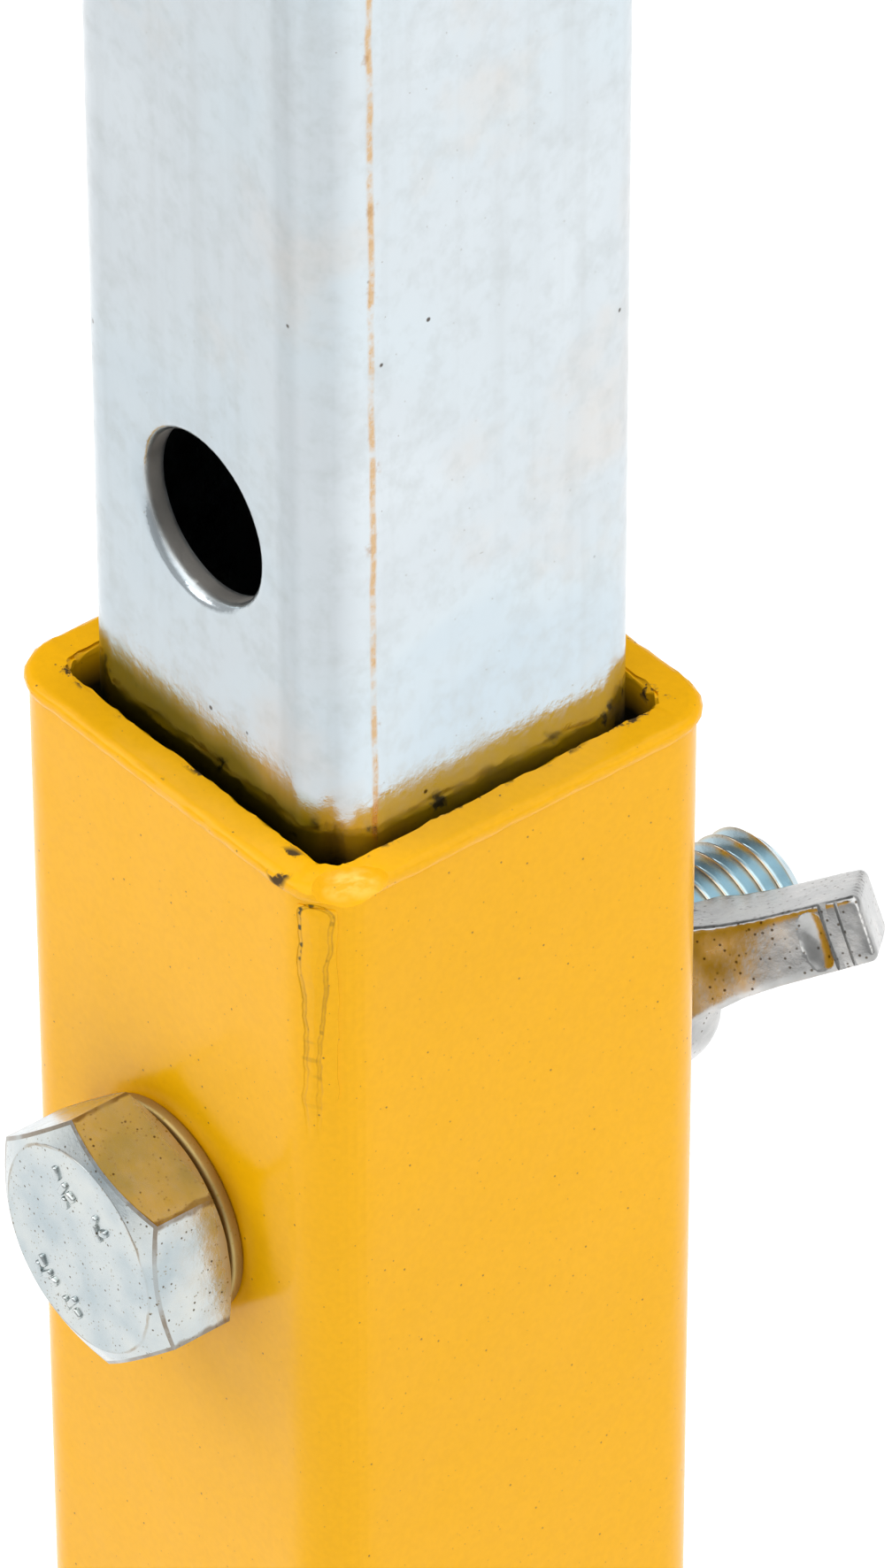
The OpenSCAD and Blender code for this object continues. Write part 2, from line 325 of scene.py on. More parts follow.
def remap(tree, value, start, end, low=0.0, high=1.0):
    """Carries start..end over to low..high, held at both ends."""
    return node(tree, "MapRange", [
        ("Value", value), ("From Min", start), ("From Max", end),
        ("To Min", low), ("To Max", high)]).outputs[0]


def noise(tree, where, scale, detail, roughness=0.5, distortion=0.0):
    return node(tree, "TexNoise", [
        ("Vector", where), ("Scale", scale), ("Detail", detail),
        ("Roughness", roughness), ("Distortion", distortion)]).outputs["Fac"]


def combine(tree, way, first, second):
    return node(tree, "Math", [(0, first), (1, second)],
                operation=way).outputs[0]


def times(tree, first, second):
    return combine(tree, "MULTIPLY", first, second)


def size_of(tree, value):
    return node(tree, "Math", [(0, value)], operation="ABSOLUTE").outputs[0]


def measure(tree, way, first, second=(0.0, 0.0, 0.0)):
    """A distance, a dot product or a length, as one number."""
    return node(tree, "VectorMath", [(0, first), (1, second)],
                operation=way).outputs["Value"]


def ramp(tree, source, stops):
    """A colour ramp from (place, colour) stops."""
    made = node(tree, "ValToRGB", [("Fac", source)])
    elements = made.color_ramp.elements
    while len(elements) < len(stops):
        elements.new(0.5)
    for element, (place, colour) in zip(elements, stops):
        element.position = place
        if isinstance(colour, (int, float)):
            colour = (colour, colour, colour)
        element.color = (*colour, 1)
    return made.outputs["Color"]


def spots(tree, where, per_metre, size, share, seed=0.0):
    """Small round specks: 1 inside one. share is how many cells have one."""
    moved = node(tree, "Mapping", [
        ("Vector", where), ("Location", (seed, seed * 0.7, seed * 0.3))])
    cell = node(tree, "TexVoronoi", [("Vector", moved.outputs[0]),
                                     ("Scale", per_metre)])
    near = ramp(tree, cell.outputs["Distance"],
                [(size * 0.6, 1.0), (size, 0.0)])
    chance = node(tree, "SeparateXYZ", [("Vector", cell.outputs["Color"])])
    return times(tree, near, combine(tree, "LESS_THAN", chance.outputs["X"],
                                     share))


def mix(tree, amount, below, above):
    made = node(tree, "Mix", data_type="RGBA")
    for socket, value in ((made.inputs["Factor"], amount),
                          (made.inputs[6], below), (made.inputs[7], above)):
        if isinstance(value, bpy.types.NodeSocket):
            tree.links.new(value, socket)
        else:
            socket.default_value = (*value, 1)
    return made.outputs[2]


def band(tree, value, low, high):
    """1 between low and high, with soft ends."""
    soft = (high - low) * 0.3
    return times(tree, remap(tree, value, low, low + soft),
                 remap(tree, value, high, high - soft))


def emboss(tree, height, strength, distance):
    return node(tree, "Bump", [("Height", height), ("Strength", strength),
                               ("Distance", distance)]).outputs[0]


yellow, tree, shader = material("yellow_powder_coat")
place = node(tree, "TexCoord").outputs["Object"]
split = node(tree, "SeparateXYZ", [("Vector", place)])
x, y, z = (split.outputs[name] for name in "XYZ")
drift = noise(tree, place, 22.0, 3.0)
tone = ramp(tree, drift, [(0.3, (0.825, 0.405, 0.002)),
                          (0.7, (0.875, 0.430, 0.002))])
grain = noise(tree, place, 1500.0, 2.0)
tone = mix(tree, ramp(tree, grain, [(0.35, 0.10), (0.65, 0.0)]), tone,
           (0.55, 0.26, 0.002))
dirt = spots(tree, place, 420.0, 0.060, 0.75)
tone = mix(tree, dirt, tone, (0.20, 0.11, 0.02))
fine_dirt = spots(tree, place, 900.0, 0.085, 0.55, 0.3)
tone = mix(tree, fine_dirt, tone, (0.45, 0.22, 0.02))

# Below the rim the bore is bare steel, coloured near-black as painted shade
# for the dark gap round the post. The coat is chipped on the rim's inner edge
# and here and there outside.
out = combine(tree, "MAXIMUM", size_of(tree, x), size_of(tree, y))
in_bore = remap(tree, out, bore_half + 0.0008, bore_half + 0.0002)
under_lip = remap(tree, z, rim_z - 0.0012, rim_z - 0.0045)
bare_bore_and_shade = times(tree, in_bore, under_lip)
# Painted shade: the bore under the lip is darkened to near-black.
tone = mix(tree, bare_bore_and_shade, tone, (0.035, 0.026, 0.010))
chipping = noise(tree, place, 235.0, 5.0, 0.65)
inner_edge = times(tree, band(tree, out, 0.0203, 0.0221),
                   remap(tree, z, rim_z - 0.0022, rim_z - 0.0012))
chips = times(tree, inner_edge,
              ramp(tree, chipping, [(0.575, 0.0), (0.615, 1.0)]))
outer_edge = times(tree, band(tree, out, 0.0243, 0.0256),
                   band(tree, z, rim_z - 0.0016, rim_z + 0.0004))
outer_chips = times(tree, outer_edge,
                    ramp(tree, chipping, [(0.66, 0.0), (0.69, 0.8)]))
chips = combine(tree, "MAXIMUM", chips, outer_chips)
for slit_x, slit_y, reach, share in ((0.0172, -0.0229, 0.0019, 0.42),
                                     (0.0182, -0.0248, 0.0016, 0.44),
                                     (0.0206, 0.0160, 0.0022, 0.50),
                                     (0.0205, 0.0090, 0.0016, 0.52)):
    away = measure(tree, "DISTANCE", place, (slit_x, slit_y, rim_z - 0.0005))
    one_chip = times(tree, remap(tree, away, reach, reach * 0.6), ramp(
        tree, chipping, [(share, 0.0), (share + 0.04, 1.0)]))
    chips = combine(tree, "MAXIMUM", chips, one_chip)
tone = mix(tree, chips, tone, (0.075, 0.045, 0.015))

# The dressed weld is a low ridge down the near corner, rounded at its top,
# with pinholes and grime along both of its sides.
around = combine(tree, "ADD", x, y)
near_corner = combine(tree, "GREATER_THAN", x, 0.020)
waver = noise(tree, place, 210.0, 3.0)
waver = remap(tree, waver, 0.0, 1.0, -0.0008, 0.0008)
down = remap(tree, z, rim_z, rim_z - 0.019)
across = node(tree, "Math", [(0, around), (1, 0.7071), (2, 0.0009)],
              operation="MULTIPLY_ADD").outputs[0]
across = combine(tree, "ADD", across, times(tree, down, 0.0005))
across = combine(tree, "ADD", across, waver)
over_top = combine(tree, "SUBTRACT", z, rim_z - 0.0040)
over_top = combine(tree, "MAXIMUM", over_top, 0.0)
from_ridge = node(tree, "CombineXYZ", [("X", across), ("Y", over_top)])
from_ridge = measure(tree, "LENGTH", from_ridge.outputs[0])
from_ridge = combine(tree, "ADD", from_ridge, times(tree, down, 0.0012))
above_end = remap(tree, z, rim_z - 0.032, rim_z - 0.016)
below_rim = remap(tree, z, rim_z - 0.0006, rim_z - 0.0011)
along_weld = times(tree, times(tree, near_corner, above_end), below_rim)
ridge_side = times(tree, along_weld, band(tree, from_ridge, 0.0016, 0.0021))
left_side = remap(tree, across, 0.0004, -0.0004, 0.35)
holes = spots(tree, place, 1100.0, 0.42, 0.60)
pinholes = times(tree, times(tree, holes, ridge_side), left_side)
flattened = node(tree, "Mapping", [("Vector", place),
                                   ("Scale", (0.3, 0.3, 1))]).outputs[0]
ripples = times(tree, spots(tree, flattened, 950.0, 0.34, 0.60), along_weld)
low_end = times(tree, band(tree, across, -0.0016, 0.0012),
                remap(tree, down, 0.80, 1.0, 0.0, 0.4))
ripples = times(tree, ripples, low_end)
grime = times(tree, ridge_side,
              ramp(tree, chipping, [(0.42, 0.08), (0.60, 0.45)]))
tone = mix(tree, grime, tone, (0.40, 0.21, 0.004))
tone = mix(tree, ripples, tone, (0.30, 0.16, 0.01))
tone = mix(tree, pinholes, tone, (0.10, 0.07, 0.01))
# Painted highlight: the ground facet at the top of the weld is coloured a
# brighter, paler yellow, streaked along the grinding strokes, for its glint.
painted_facet_highlight = node(tree, "VectorMath", [(0, place),
                                   (1, (0.0242, -0.0206, rim_z - 0.0008))],
              operation="SUBTRACT").outputs[0]
painted_facet_highlight = node(tree, "VectorMath", [(0, painted_facet_highlight), (1, (0.75, 0.75, 1.7))],
              operation="MULTIPLY").outputs[0]
painted_facet_highlight = measure(tree, "LENGTH", painted_facet_highlight)
painted_facet_highlight = remap(tree, painted_facet_highlight, 0.0024, 0.0011)
strokes = noise(tree, flattened, 1500.0, 3.0)
painted_facet_highlight = times(tree, painted_facet_highlight,
               ramp(tree, strokes, [(0.42, 0.10), (0.60, 0.9)]))
tone = mix(tree, painted_facet_highlight, tone, (1.0, 0.70, 0.17))

# Road dust lies on the base and fades out up the sleeve.
dust_noise = noise(tree, place, 45.0, 6.0)
dust_height = remap(tree, z, 0.150, 0.0, 0.0, 0.75)
dust = times(tree, dust_height,
             ramp(tree, dust_noise, [(0.42, 0.0), (0.72, 0.9)]))
tone = mix(tree, dust, tone, (0.38, 0.27, 0.12))
tree.links.new(tone, shader.inputs["Base Color"])
peel = noise(tree, place, 420.0, 2.0)
sag = noise(tree, place, 60.0, 1.0)
skin = combine(tree, "ADD", peel, times(tree, sag, 5.0))
pits = combine(tree, "MAXIMUM", pinholes, chips)
skin = combine(tree, "SUBTRACT", skin, times(tree, pits, 1.2))
bump = node(tree, "Bump", [("Height", skin), ("Strength", 0.22),
                           ("Distance", 0.0003)])
ridge = times(tree, along_weld, remap(tree, from_ridge, 0.0020, 0.0008))
ridge = combine(tree, "SUBTRACT", ridge, ridge_side)
bump = node(tree, "Bump", [("Height", ridge), ("Strength", 0.55),
                           ("Distance", 0.0006), ("Normal", bump.outputs[0])])
tree.links.new(bump.outputs[0], shader.inputs["Normal"])
dull = combine(tree, "MAXIMUM", chips, dust)
tree.links.new(remap(tree, dull, 0.0, 1.0, 0.22, 0.75),
               shader.inputs["Roughness"])
shader.inputs["Specular IOR Level"].default_value = 0.15
sleeve.data.materials.clear()
sleeve.data.materials.append(yellow)


# Weld at the rim corner. The near corner was slit to let the inner post in,
# closed again with one short run of weld, dressed with a grinder and
# painted over.
weld_low, weld_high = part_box("rim_weld")
round_corner = math.radians(-54)
out_way = Vector((math.cos(round_corner), math.sin(round_corner), 0))
corner_axis = Vector((0.019, -0.019, (weld_low.z + weld_high.z) / 2 - 0.0012))
bpy.ops.object.select_all(action="DESELECT")
bpy.ops.mesh.primitive_cube_add(
    size=1.0, location=corner_axis + out_way * 0.0048,
    rotation=(0, 0, round_corner),
    scale=(0.0030, 0.0040, weld_high.z - weld_low.z - 0.0024))
weld_run = bpy.context.object
settle(weld_run, "rim_weld_run")
bpy.ops.object.mode_set(mode="EDIT")
pick("edges", lambda e: not standing(e))
bpy.ops.mesh.subdivide(number_cuts=4)
for level in range(1, 14):
    bpy.ops.mesh.select_all(action="SELECT")
    bpy.ops.mesh.bisect(
        plane_co=(0, 0, weld_low.z + 0.0018 * level), plane_no=(0, 0, 1))
bpy.ops.mesh.select_all(action="SELECT")
bpy.ops.transform.vertex_random(offset=0.00022, uniform=0.7, seed=2)
bpy.ops.object.mode_set(mode="OBJECT")
modify(weld_run, "BEVEL", width=0.0011, segments=4, limit_method="ANGLE",
       angle_limit=math.radians(60))
modify(weld_run, "REMESH", mode="VOXEL", voxel_size=0.00022)
modify(weld_run, "SMOOTH", factor=0.5, iterations=8)

# The grinder leaves it round, 0.1 mm proud of the sleeve's own corner.
bpy.ops.object.select_all(action="DESELECT")
bpy.ops.mesh.primitive_cylinder_add(
    vertices=160, radius=0.00610, depth=0.080,
    location=(corner_axis.x, corner_axis.y, corner_axis.z))
dressed = bpy.context.object
settle(dressed, "dressed")
cut_away(weld_run, dressed, "INTERSECT")
smooth(weld_run, 60)
weld_run.data.materials.append(yellow)
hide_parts("rim_weld")
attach(weld_run, "sleeve")


# Base plate. A 10 mm steel plate, 150 mm square, flame cut with rounded
# corners and four anchor holes, welded under the sleeve and painted with it.
plate_low, plate_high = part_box("base_plate")
plate_corner, anchor_out, anchor_r = 0.012, 0.055, 0.007
bpy.ops.object.select_all(action="DESELECT")
bpy.ops.mesh.primitive_cube_add(
    size=1.0, location=(0, 0, (plate_low.z + plate_high.z) / 2),
    scale=(plate_high.x - plate_low.x, plate_high.y - plate_low.y,
           plate_high.z - plate_low.z))
plate = bpy.context.object
settle(plate, "plate")
bpy.ops.object.mode_set(mode="EDIT")
pick("edges", standing)
bpy.ops.mesh.bevel(offset=plate_corner, offset_type="OFFSET", segments=14,
                   profile=0.5, affect="EDGES")
bpy.ops.object.mode_set(mode="OBJECT")
for corner_x in (-anchor_out, anchor_out):
    for corner_y in (-anchor_out, anchor_out):
        bpy.ops.object.select_all(action="DESELECT")
        bpy.ops.mesh.primitive_cylinder_add(
            vertices=64, radius=anchor_r, depth=0.040,
            location=(corner_x, corner_y, plate_high.z))
        anchor_drill = bpy.context.object
        settle(anchor_drill, "anchor_drill")
        cut_away(plate, anchor_drill)
modify(plate, "BEVEL", width=0.0009, segments=4, limit_method="ANGLE",
       angle_limit=math.radians(40))
smooth(plate, 40)
plate.data.materials.append(yellow)
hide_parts("base_plate")
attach(plate, "sleeve")


# Gussets. Four 6 mm plates, sheared to shape with the corner at the weld cut
# off, stand on the base plate against the middle of the sleeve's faces.
def clean_copy(name, piece_name, rounding, segments=3):
    """A copy of a CAD node with its edges rounded, standing for the node."""
    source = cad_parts[name]
    copy = bpy.data.objects.new(piece_name, source.data.copy())
    bpy.context.scene.collection.objects.link(copy)
    settle(copy, piece_name)
    bpy.ops.object.mode_set(mode="EDIT")
    bpy.ops.mesh.select_all(action="SELECT")
    bpy.ops.mesh.remove_doubles(threshold=1e-6)
    bpy.ops.mesh.dissolve_limited(angle_limit=math.radians(1))
    bpy.ops.object.mode_set(mode="OBJECT")
    modify(copy, "BEVEL", width=rounding, segments=segments,
           limit_method="ANGLE", angle_limit=math.radians(40))
    smooth(copy, 40)
    copy.data.materials.clear()
    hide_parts(name)
    return copy


for side in ("front", "back", "left", "right"):
    gusset = clean_copy("gusset_" + side, "gusset_plate_" + side, 0.0007)
    gusset.data.materials.append(yellow)
    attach(gusset, "sleeve")


# Fillet welds. One pass with a hand torch round the sleeve's foot and along
# both sides of every gusset; each dip of the wire left its own ripple.
def bead(start, end, radius):
    """One run of ripples from start to end, 2.4 mm apart."""
    run = Vector(end) - Vector(start)
    count = max(2, int(run.length / 0.0024))
    bpy.ops.object.select_all(action="DESELECT")
    bpy.ops.mesh.primitive_uv_sphere_add(segments=12, ring_count=6, radius=1.0,
                                         scale=(0.0021, radius, radius))
    piece = bpy.context.object
    bpy.ops.object.transform_apply(location=False, rotation=False, scale=True)
    modify(piece, "ARRAY", count=count, use_relative_offset=False,
           use_constant_offset=True,
           constant_offset_displace=(run.length / count, 0, 0))
    piece.rotation_euler = run.to_track_quat("X", "Z").to_euler()
    piece.location = Vector(start) + run.normalized() * run.length / count / 2
    settle(piece, "bead")
    return piece


def weld_piece(node_name, piece_name, runs):
    piece = runs[0]
    join(piece, runs[1:])
    settle(piece, piece_name)
    smooth(piece, 60)
    piece.data.materials.append(yellow)
    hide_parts(node_name)
    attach(piece, "sleeve")


gusset_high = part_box("gusset_right")[1]
toe = gusset_high.x - 0.001
foot_z, toe_z = plate_high.z + 0.0008, plate_high.z + 0.0005
heel_z, tip_z = plate_high.z + 0.0070, gusset_high.z - 0.001
foot_bead, gusset_bead = 0.0042, 0.0027
foot_runs, gusset_runs = [], []
for quarter in range(4):
    spin = Matrix.Rotation(quarter * math.pi / 2, 4, "Z")
    for hand in (-1, 1):
        foot_runs.append(bead(spin @ Vector((0.0258, hand * 0.0045, foot_z)),
                              spin @ Vector((0.0258, hand * 0.0235, foot_z)),
                              foot_bead))
        side = hand * (gusset_high.y + 0.0006)
        for start, end in (((0.0320, side, toe_z), (toe, side, toe_z)),
                           ((0.0255, side, heel_z), (0.0255, side, tip_z))):
            gusset_runs.append(bead(spin @ Vector(start),
                                    spin @ Vector(end), gusset_bead))
weld_piece("foot_welds", "foot_weld_beads", foot_runs)
weld_piece("gusset_welds", "gusset_weld_beads", gusset_runs)


# Inner post. Zinc plated square hollow section, 40 mm wide with 3 mm walls.
# The cross holes are punched, so their mouths are drawn in a little.
post_low, post_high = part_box("inner_tube")
post_width, post_wall, post_corner = 0.040, 0.003, 0.006
post_inside = post_width - 2 * post_wall
hole_count, hole_pitch = 7, 0.082
post = square_bar(post_low.z, post_high.z, post_width, post_corner, 12)
for up in (1, -1):
    pick("faces", lambda f: f.normal.z * up > 0.9)
    bpy.ops.mesh.inset(thickness=post_wall, use_even_offset=True)
    bpy.ops.mesh.extrude_region_move(
        TRANSFORM_OT_translate={"value": (0, 0, -up * 0.022)})
bpy.ops.object.mode_set(mode="OBJECT")
bpy.ops.object.select_all(action="DESELECT")
hollow = square_bar(post_low.z + 0.021, post_high.z - 0.021, post_inside,
                    post_corner - post_wall, 6)
bpy.ops.object.mode_set(mode="OBJECT")
cut_away(post, hollow)
for step in range(hole_count):
    cross_drill(post, bolt_z + step * hole_pitch, hole_r, 0.0014,
                post_width / 2)
settle(post, "inner_post")
smooth(post, 35)
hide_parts("inner_tube")
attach(post, "inner_post")

post_zinc, tree, shader = material("zinc_plated_tube")
place = node(tree, "TexCoord").outputs["Object"]
split = node(tree, "SeparateXYZ", [("Vector", place)])
x, y, z = (split.outputs[name] for name in "XYZ")
cloud = noise(tree, place, 24.0, 3.0, distortion=0.6)
tone = ramp(tree, cloud, [(0.30, (0.500, 0.575, 0.620)),
                          (0.48, (0.550, 0.610, 0.640)),
                          (0.58, (0.550, 0.595, 0.620)),
                          (0.74, (0.600, 0.645, 0.670))])
drawn = node(tree, "Mapping", [("Vector", place), ("Scale", (1, 1, 0.035))])
streak = noise(tree, drawn.outputs[0], 420.0, 4.0)
tone = mix(tree, ramp(tree, streak, [(0.52, 0.0), (0.80, 0.30)]), tone,
           (0.44, 0.46, 0.46))
mottle = noise(tree, place, 330.0, 6.0, 0.7)
warm = noise(tree, place, 38.0, 5.0, 0.6)
tone = mix(tree, ramp(tree, warm, [(0.54, 0.0), (0.70, 0.60)]), tone,
           (0.60, 0.545, 0.49))
tone = mix(tree, ramp(tree, mottle, [(0.46, 0.0), (0.66, 0.36)]), tone,
           (0.44, 0.47, 0.47))
# Painted light: the +X face is coloured lighter than the other faces for the
# light that side gets; a band on the -Y face is also darkened a little.
painted_lit_x_face = remap(tree, x, 0.0185, 0.0198, -0.02, 0.17)
roll_line = times(tree, band(tree, x, 0.0120, 0.0158),
                  combine(tree, "LESS_THAN", y, -0.0185))
shade = combine(tree, "SUBTRACT", painted_lit_x_face, times(tree, roll_line, 0.10))
shade = combine(tree, "ADD", shade, 0.885)
tone = node(tree, "HueSaturation", [("Color", tone),
                                    ("Value", shade)]).outputs[0]
punched = times(tree, band(tree, size_of(tree, y), 0.0166, 0.0194),
                combine(tree, "LESS_THAN", size_of(tree, x), 0.0110))
tone = mix(tree, times(tree, punched, 0.8), tone, (0.46, 0.42, 0.37))
specks = spots(tree, place, 160.0, 0.050, 0.45)
tone = mix(tree, specks, tone, (0.10, 0.09, 0.08))
fine_specks = spots(tree, place, 800.0, 0.070, 0.10, 0.6)
tone = mix(tree, fine_specks, tone, (0.30, 0.28, 0.25))

# Painted reflection and shade: a dark olive band on the -Y face just above
# the rim, with a wavering top, stands for the sleeve's dark bore mirrored in
# the zinc.
reflection_edge_waver = noise(tree, drawn.outputs[0], 150.0, 4.0)
reflection_edge_waver = remap(tree, reflection_edge_waver, 0.0, 1.0, -0.0030, 0.0030)
reflection_top = remap(tree, x, -0.020, 0.018, 0.0068, 0.0042)
above_rim = combine(tree, "SUBTRACT", z, rim_z)
painted_rim_reflection = combine(tree, "SUBTRACT", above_rim,
                 combine(tree, "ADD", reflection_top, reflection_edge_waver))
painted_rim_reflection = remap(tree, painted_rim_reflection, 0.0015, -0.0022, 0.0, 0.92)
painted_rim_reflection = times(tree, painted_rim_reflection, remap(tree, y, -0.0175, -0.0195))
tone = mix(tree, painted_rim_reflection, tone, (0.115, 0.150, 0.030))

# The tube's own seam is skimmed, and a fine line of rust has started there.
waver = noise(tree, place, 130.0, 3.0)
waver = remap(tree, waver, 0.0, 1.0, -0.0003, 0.0003)
seam = combine(tree, "ADD", y, waver)
front = combine(tree, "GREATER_THAN", x, 0.016)
blot = noise(tree, place, 420.0, 4.0, 0.7)
line = times(tree, band(tree, seam, -0.01500, -0.01410), front)
line = times(tree, line, ramp(tree, blot, [(0.36, 0.10), (0.56, 0.90)]))
tone = mix(tree, line, tone, (0.58, 0.38, 0.19))
stain = times(tree, band(tree, seam, -0.0157, -0.0134), front)
stain = times(tree, stain, ramp(tree, blot, [(0.60, 0.0), (0.70, 0.55)]))
tone = mix(tree, stain, tone, (0.40, 0.22, 0.09))
tree.links.new(tone, shader.inputs["Base Color"])
shader.inputs["Metallic"].default_value = 1.0
dull = remap(tree, combine(tree, "MAXIMUM", mottle, line),
             0.35, 0.80, 0.12, 0.30)
dull = combine(tree, "ADD", dull, times(tree, punched, 0.40))
tree.links.new(dull, shader.inputs["Roughness"])
grain = noise(tree, place, 900.0, 3.0)
skin = combine(tree, "ADD", grain, times(tree, streak, 0.8))
tree.links.new(emboss(tree, skin, 0.20, 0.0002), shader.inputs["Normal"])
post.data.materials.clear()
post.data.materials.append(post_zinc)


# Bolt. M16 hexagon bolt, 80 mm long, forged and bright zinc plated. The
# head is chamfered all round, with raised forging marks on its face, and
# the last 38 mm of the shank carry a rolled thread of 2 mm pitch.
def turned(stations, centre, sides=96):
    """A turned solid along Y, from (y, radius) stations."""
    bpy.ops.object.select_all(action="DESELECT")
    y, radius = stations[0]
    bpy.ops.mesh.primitive_circle_add(
        vertices=sides, radius=radius, fill_type="NGON",
        location=(centre[0], y, centre[1]), rotation=(math.pi / 2, 0, 0))
    piece = bpy.context.object
    bpy.ops.object.transform_apply(location=True, rotation=True, scale=True)
    bpy.ops.object.mode_set(mode="EDIT")
    bpy.ops.mesh.select_all(action="SELECT")
    for next_y, next_radius in stations[1:]:
        bpy.ops.mesh.extrude_region_move(
            TRANSFORM_OT_translate={"value": (0, next_y - y, 0)})
        k = next_radius / radius
        bpy.ops.transform.resize(value=(k, 1, k),
                                 center_override=(centre[0], next_y, centre[1]))
        y, radius = next_y, next_radius
    bpy.ops.mesh.select_all(action="SELECT")
    bpy.ops.mesh.remove_doubles(threshold=1e-6)
    bpy.ops.mesh.normals_make_consistent(inside=False)
    bpy.ops.object.mode_set(mode="OBJECT")
    return piece


bolt_low, bolt_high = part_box("hex_bolt")
head_front, tip = bolt_low.y, bolt_high.y
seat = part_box("head_washer")[0].y
hex_back = seat - 0.0006
across_flats, shank_r = 0.025, 0.0080
corner_r = across_flats / 2 / math.cos(math.radians(30))
bpy.ops.object.select_all(action="DESELECT")
bpy.ops.mesh.primitive_cylinder_add(
    vertices=6, radius=corner_r, depth=hex_back - head_front,
    location=(0, (head_front + hex_back) / 2, bolt_z),
    rotation=(math.pi / 2, math.radians(-10), 0))
bolt = bpy.context.object
settle(bolt, "bolt")
slope = math.tan(math.radians(27))
lathe = turned([(head_front - 0.0001, 0.0113),
                (head_front + 0.0001, 0.0115),
                (head_front + 0.0001 + 0.0040 * slope, 0.0155),
                (hex_back - 0.0031 * slope, 0.0155),
                (hex_back + 0.0001, 0.0124)], (0, bolt_z), 128)
settle(lathe, "lathe")
cut_away(bolt, lathe, "INTERSECT")
modify(bolt, "BEVEL", width=0.00035, segments=4, limit_method="ANGLE",
       angle_limit=math.radians(20), harden_normals=False)

marks = []
for around, reach, length, lean in (
        (112, 0.0084, 0.0016, 70), (108, 0.0068, 0.0018, -60),
        (98, 0.0062, 0.0013, 20), (110, 0.0052, 0.0014, 80),
        (62, 0.0062, 0.0016, -70), (52, 0.0054, 0.0020, 60),
        (48, 0.0066, 0.0012, -20), (226, 0.0092, 0.0018, 80),
        (232, 0.0082, 0.0016, -40), (222, 0.0078, 0.0014, 60),
        (240, 0.0078, 0.0010, 10), (256, 0.0086, 0.0016, 70),
        (262, 0.0076, 0.0018, -50), (268, 0.0086, 0.0012, 30)):
    around = math.radians(around)
    bpy.ops.object.select_all(action="DESELECT")
    bpy.ops.mesh.primitive_cube_add(
        size=1.0, location=(reach * math.cos(around), head_front,
                            bolt_z + reach * math.sin(around)),
        rotation=(0, math.radians(lean), 0), scale=(length, 0.0008, 0.0008))
    mark = bpy.context.object
    settle(mark, "mark")
    modify(mark, "BEVEL", width=0.00028, segments=3, limit_method="NONE")
    marks.append(mark)

thread_start, pitch = tip - 0.038, 0.002
shank = turned([(hex_back - 0.001, 0.0112), (seat - 0.0001, 0.0112),
                (seat, 0.0110), (seat, 0.0084), (seat + 0.0004, shank_r),
                (thread_start, shank_r), (thread_start + 0.0014, 0.0069)],
               (0, bolt_z))
settle(shank, "shank")
crest_line = [(0, 0.00684), (0.00018, 0.00681), (0.00028, 0.00689),
              (0.00086, 0.00793), (0.00092, 0.00799), (0.00108, 0.00799),
              (0.00114, 0.00793), (0.00172, 0.00689), (0.00182, 0.00681),
              (pitch, 0.00684)]
profile = bpy.data.meshes.new("thread")
profile.from_pydata(
    [(r, thread_start - pitch + y, 0) for y, r in crest_line],
    [(n, n + 1) for n in range(len(crest_line) - 1)], [])
thread = bpy.data.objects.new("thread", profile)
bpy.context.scene.collection.objects.link(thread)
thread.location = (0, 0, bolt_z)
modify(thread, "SCREW", axis="Y", angle=2 * math.pi, screw_offset=pitch,
       iterations=21, steps=48, render_steps=48, use_merge_vertices=True,
       merge_threshold=1e-7)
settle(thread, "thread")
bpy.ops.object.mode_set(mode="EDIT")
for level, way in ((thread_start + 0.0002, -1), (tip, 1)):
    bpy.ops.mesh.select_all(action="SELECT")
    bpy.ops.mesh.remove_doubles(threshold=1e-6)
    bpy.ops.mesh.bisect(plane_co=(0, level, bolt_z), plane_no=(0, way, 0),
                        clear_outer=True, use_fill=True)
bpy.ops.mesh.select_all(action="SELECT")
bpy.ops.mesh.normals_make_consistent(inside=False)
bpy.ops.object.mode_set(mode="OBJECT")
chamfer = turned([(thread_start - 0.001, 0.0095), (tip - 0.0032, 0.0095),
                  (tip + 0.0002, 0.0061)], (0, bolt_z))
settle(chamfer, "chamfer")
cut_away(thread, chamfer, "INTERSECT")
join(bolt, marks + [shank, thread])
smooth(bolt, 35)
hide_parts("hex_bolt")
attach(bolt, "cross_bolt")

bright_zinc, tree, shader = material("bright_zinc")
place = node(tree, "TexCoord").outputs["Object"]
cloud = noise(tree, place, 180.0, 4.0)
tone = ramp(tree, cloud, [(0.30, (0.40, 0.46, 0.48)),
                          (0.50, (0.50, 0.54, 0.54)),
                          (0.72, (0.58, 0.60, 0.57))])
specks = spots(tree, place, 1400.0, 0.23, 0.22)
tone = mix(tree, specks, tone, (0.13, 0.11, 0.08))
fine_specks = spots(tree, place, 2600.0, 0.30, 0.26, 0.2)
tone = mix(tree, fine_specks, tone, (0.30, 0.28, 0.22))
split = node(tree, "SeparateXYZ", [("Vector", place)])
height = combine(tree, "SUBTRACT", split.outputs["Z"], bolt_z)
radial = node(tree, "CombineXYZ", [("X", split.outputs["X"]), ("Y", height)])
radius = measure(tree, "LENGTH", radial.outputs[0])
waver = noise(tree, place, 500.0, 3.0)
waver = remap(tree, waver, 0.0, 1.0, -0.0003, 0.0003)
rough_radius = combine(tree, "ADD", radius, waver)
ring = band(tree, rough_radius, 0.01115, 0.01155)
on_face = combine(tree, "LESS_THAN", split.outputs["Y"], head_front + 0.0003)
ring = times(tree, ring, on_face)
